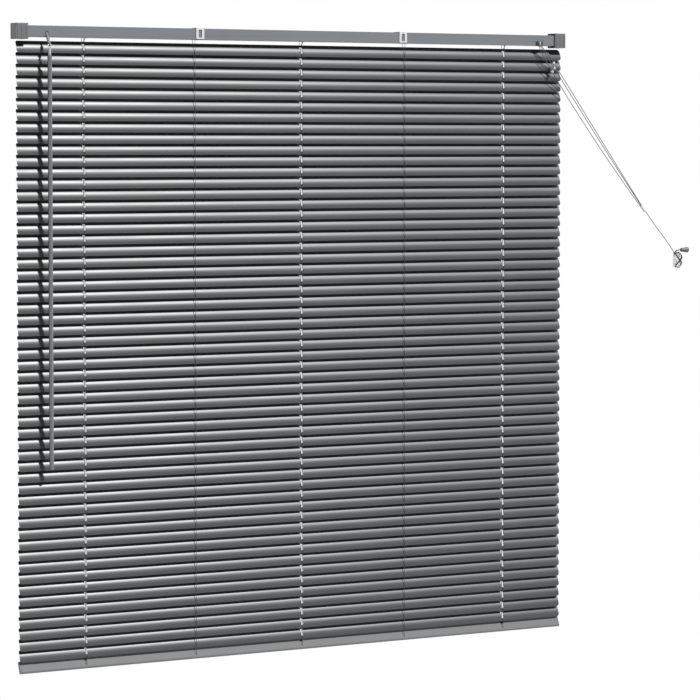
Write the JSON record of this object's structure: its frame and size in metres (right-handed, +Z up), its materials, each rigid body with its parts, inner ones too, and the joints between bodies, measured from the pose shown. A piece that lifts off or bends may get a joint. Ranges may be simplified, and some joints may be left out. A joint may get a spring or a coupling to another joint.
{
  "type": "venetian blinds",
  "caption": "Wall-hung venetian blind: grey headrail, tilting and gathering aluminium slats, string ladders, wand tilter, corded lift with a wall cleat.",
  "frame": {"origin": "on the wall plane, midway between the box brackets, level with the top of the headrail", "axes": "+X right as seen from the room, +Y into the wall, +Z up"},
  "size_m": [1.5106, 0.0464, 1.2382],
  "materials": {
    "headrail_paint": "satin grey paint",
    "bracket_paint": "satin light grey paint",
    "slat_paint": "satin grey paint on aluminium",
    "rail_paint": "satin grey paint",
    "steel": "plain",
    "white_plastic": "moulded",
    "grey_plastic": "moulded",
    "dark_plastic": "moulded",
    "clear_plastic": "clear, moulded",
    "ladder_string": "woven polyester",
    "cord_fibre": "braided polyester"
  },
  "bodies": {
    "frame": {"headrail": "headrail_paint", "box_bracket_left": "bracket_paint", "box_bracket_right": "bracket_paint", "centre_bracket_left": "white_plastic", "centre_bracket_right": "white_plastic", "ladder_cradle_1": "white_plastic", "ladder_cradle_2": "white_plastic", "ladder_cradle_3": "white_plastic", "ladder_cradle_4": "white_plastic", "ladder_cradle_5": "white_plastic", "tilter_housing": "grey_plastic", "ladder_1": "ladder_string", "ladder_2": "ladder_string", "ladder_4": "ladder_string", "ladder_5": "ladder_string", "ladder_3_bank_1": "ladder_string", "lift_cord_1": "cord_fibre", "lift_cord_2": "cord_fibre", "lift_cord_3": "cord_fibre", "cord_lock_body": "white_plastic", "pull_cord_1": "cord_fibre", "pull_cord_2": "cord_fibre", "pull_cord_3": "cord_fibre", "cord_stop_1": "clear_plastic", "cord_stop_2": "clear_plastic", "cord_stop_3": "clear_plastic", "cord_connector": "white_plastic", "cord_cleat": "clear_plastic", "draw_cord": "cord_fibre", "cord_tassel": "dark_plastic"},
    "cover_left": {"bracket_cover_left": "bracket_paint"},
    "cover_right": {"bracket_cover_right": "bracket_paint"},
    "tilt_shaft": {"tilt_rod": "steel", "worm_wheel": "white_plastic", "ladder_drum_1": "white_plastic", "ladder_drum_2": "white_plastic", "ladder_drum_3": "white_plastic", "ladder_drum_4": "white_plastic", "ladder_drum_5": "white_plastic"},
    "worm": {"tilt_worm": "steel"},
    "wand": {"wand_hook": "steel", "wand_sleeve": "clear_plastic", "wand_rod": "dark_plastic"},
    "bank_2": {"ladder_3_bank_2": "ladder_string"},
    "bank_3": {"ladder_3_bank_3": "ladder_string"},
    "bank_4": {"ladder_3_bank_4": "ladder_string"},
    "bank_5": {"ladder_3_bank_5": "ladder_string"},
    "bank_6": {"ladder_3_bank_6": "ladder_string"},
    "bank_7": {"ladder_3_bank_7": "ladder_string"},
    "slat_1": {"slat_bank_1": "slat_paint"},
    "slat_2": {"slat_bank_2": "slat_paint"},
    "slat_3": {"slat_bank_3": "slat_paint"},
    "slat_4": {"slat_bank_4": "slat_paint"},
    "slat_5": {"slat_bank_5": "slat_paint"},
    "slat_6": {"slat_bank_6": "slat_paint"},
    "slat_7": {"slat_bank_7": "slat_paint"},
    "rail": {"bottom_rail": "rail_paint", "bottom_rail_cap_left": "grey_plastic", "bottom_rail_cap_right": "grey_plastic"},
    "lock_roller": {"cord_lock_roller": "steel"}
  },
  "joints": [
    {"name": "tilt", "type": "hinge", "parent": "frame", "child": "tilt_shaft", "pos_m": [0, -0.015, -0.011], "axis": [-1, 0, 0], "range_deg": [0, 130]},
    {"name": "worm_spin", "type": "hinge", "parent": "frame", "child": "worm", "pos_m": [-0.537, -0.02106, -0.00676], "axis": [0, -0.5736, -0.8192], "range_deg": [0, 1440]},
    {"name": "wand_spin", "type": "hinge", "parent": "frame", "child": "wand", "pos_m": [-0.537, -0.042, -0.06], "axis": [0, 0, -1], "range_deg": [0, 1440]},
    {"name": "lift", "type": "slide", "parent": "frame", "child": "bank_7", "axis": [0, 0, 1], "range_m": [0, 1.01357], "deforming": ["ladder_1", "ladder_2", "ladder_4", "ladder_5", "ladder_3_bank_1", "ladder_3_bank_2", "ladder_3_bank_3", "ladder_3_bank_4", "ladder_3_bank_5", "ladder_3_bank_6", "ladder_3_bank_7", "lift_cord_1", "lift_cord_2", "lift_cord_3"]},
    {"name": "bank_2_rise", "type": "slide", "parent": "frame", "child": "bank_2", "axis": [0, 0, 1], "range_m": [0, 0.16894]},
    {"name": "bank_3_rise", "type": "slide", "parent": "frame", "child": "bank_3", "axis": [0, 0, 1], "range_m": [0, 0.33787]},
    {"name": "bank_4_rise", "type": "slide", "parent": "frame", "child": "bank_4", "axis": [0, 0, 1], "range_m": [0, 0.50679]},
    {"name": "bank_5_rise", "type": "slide", "parent": "frame", "child": "bank_5", "axis": [0, 0, 1], "range_m": [0, 0.67572]},
    {"name": "bank_6_rise", "type": "slide", "parent": "frame", "child": "bank_6", "axis": [0, 0, 1], "range_m": [0, 0.84465]},
    {"name": "slat_1_tilt", "type": "hinge", "parent": "frame", "child": "slat_1", "pos_m": [0, -0.015, -0.1045], "axis": [-1, 0, 0], "range_deg": [0, 130]},
    {"name": "slat_2_tilt", "type": "hinge", "parent": "bank_2", "child": "slat_2", "pos_m": [0, -0.015, -0.2765], "axis": [-1, 0, 0], "range_deg": [0, 130]},
    {"name": "slat_3_tilt", "type": "hinge", "parent": "bank_3", "child": "slat_3", "pos_m": [0, -0.015, -0.4485], "axis": [-1, 0, 0], "range_deg": [0, 130]},
    {"name": "slat_4_tilt", "type": "hinge", "parent": "bank_4", "child": "slat_4", "pos_m": [0, -0.015, -0.6205], "axis": [-1, 0, 0], "range_deg": [0, 130]},
    {"name": "slat_5_tilt", "type": "hinge", "parent": "bank_5", "child": "slat_5", "pos_m": [0, -0.015, -0.7925], "axis": [-1, 0, 0], "range_deg": [0, 130]},
    {"name": "slat_6_tilt", "type": "hinge", "parent": "bank_6", "child": "slat_6", "pos_m": [0, -0.015, -0.9645], "axis": [-1, 0, 0], "range_deg": [0, 130]},
    {"name": "slat_7_tilt", "type": "hinge", "parent": "bank_7", "child": "slat_7", "pos_m": [0, -0.015, -1.1365], "axis": [-1, 0, 0], "range_deg": [0, 130]},
    {"name": "rail_tilt", "type": "hinge", "parent": "bank_7", "child": "rail", "pos_m": [0, -0.015, -1.2225], "axis": [-1, 0, 0], "range_deg": [0, 130]},
    {"name": "cover_left_swing", "type": "hinge", "parent": "frame", "child": "cover_left", "pos_m": [-0.5875, -0.0292, 0.0032], "axis": [-1, 0, 0], "range_deg": [0, 100]},
    {"name": "cover_right_swing", "type": "hinge", "parent": "frame", "child": "cover_right", "pos_m": [0.5875, -0.0292, 0.0032], "axis": [-1, 0, 0], "range_deg": [0, 100]},
    {"name": "lock_release", "type": "slide", "parent": "frame", "child": "lock_roller", "axis": [0, 0.6, 0.8], "range_m": [0, 0.004]}
  ],
  "couplings": [
    {"joint": "worm_spin", "follows": "tilt", "ratio": 11.077},
    {"joint": "wand_spin", "follows": "tilt", "ratio": 11.077},
    {"joint": "slat_1_tilt", "follows": "tilt", "ratio": 1},
    {"joint": "slat_2_tilt", "follows": "tilt", "ratio": 1},
    {"joint": "slat_3_tilt", "follows": "tilt", "ratio": 1},
    {"joint": "slat_4_tilt", "follows": "tilt", "ratio": 1},
    {"joint": "slat_5_tilt", "follows": "tilt", "ratio": 1},
    {"joint": "slat_6_tilt", "follows": "tilt", "ratio": 1},
    {"joint": "slat_7_tilt", "follows": "tilt", "ratio": 1},
    {"joint": "rail_tilt", "follows": "tilt", "ratio": 1},
    {"joint": "bank_2_rise", "follows": "lift", "ratio": 0.16667},
    {"joint": "bank_3_rise", "follows": "lift", "ratio": 0.33333},
    {"joint": "bank_4_rise", "follows": "lift", "ratio": 0.5},
    {"joint": "bank_5_rise", "follows": "lift", "ratio": 0.66667},
    {"joint": "bank_6_rise", "follows": "lift", "ratio": 0.83333}
  ]
}
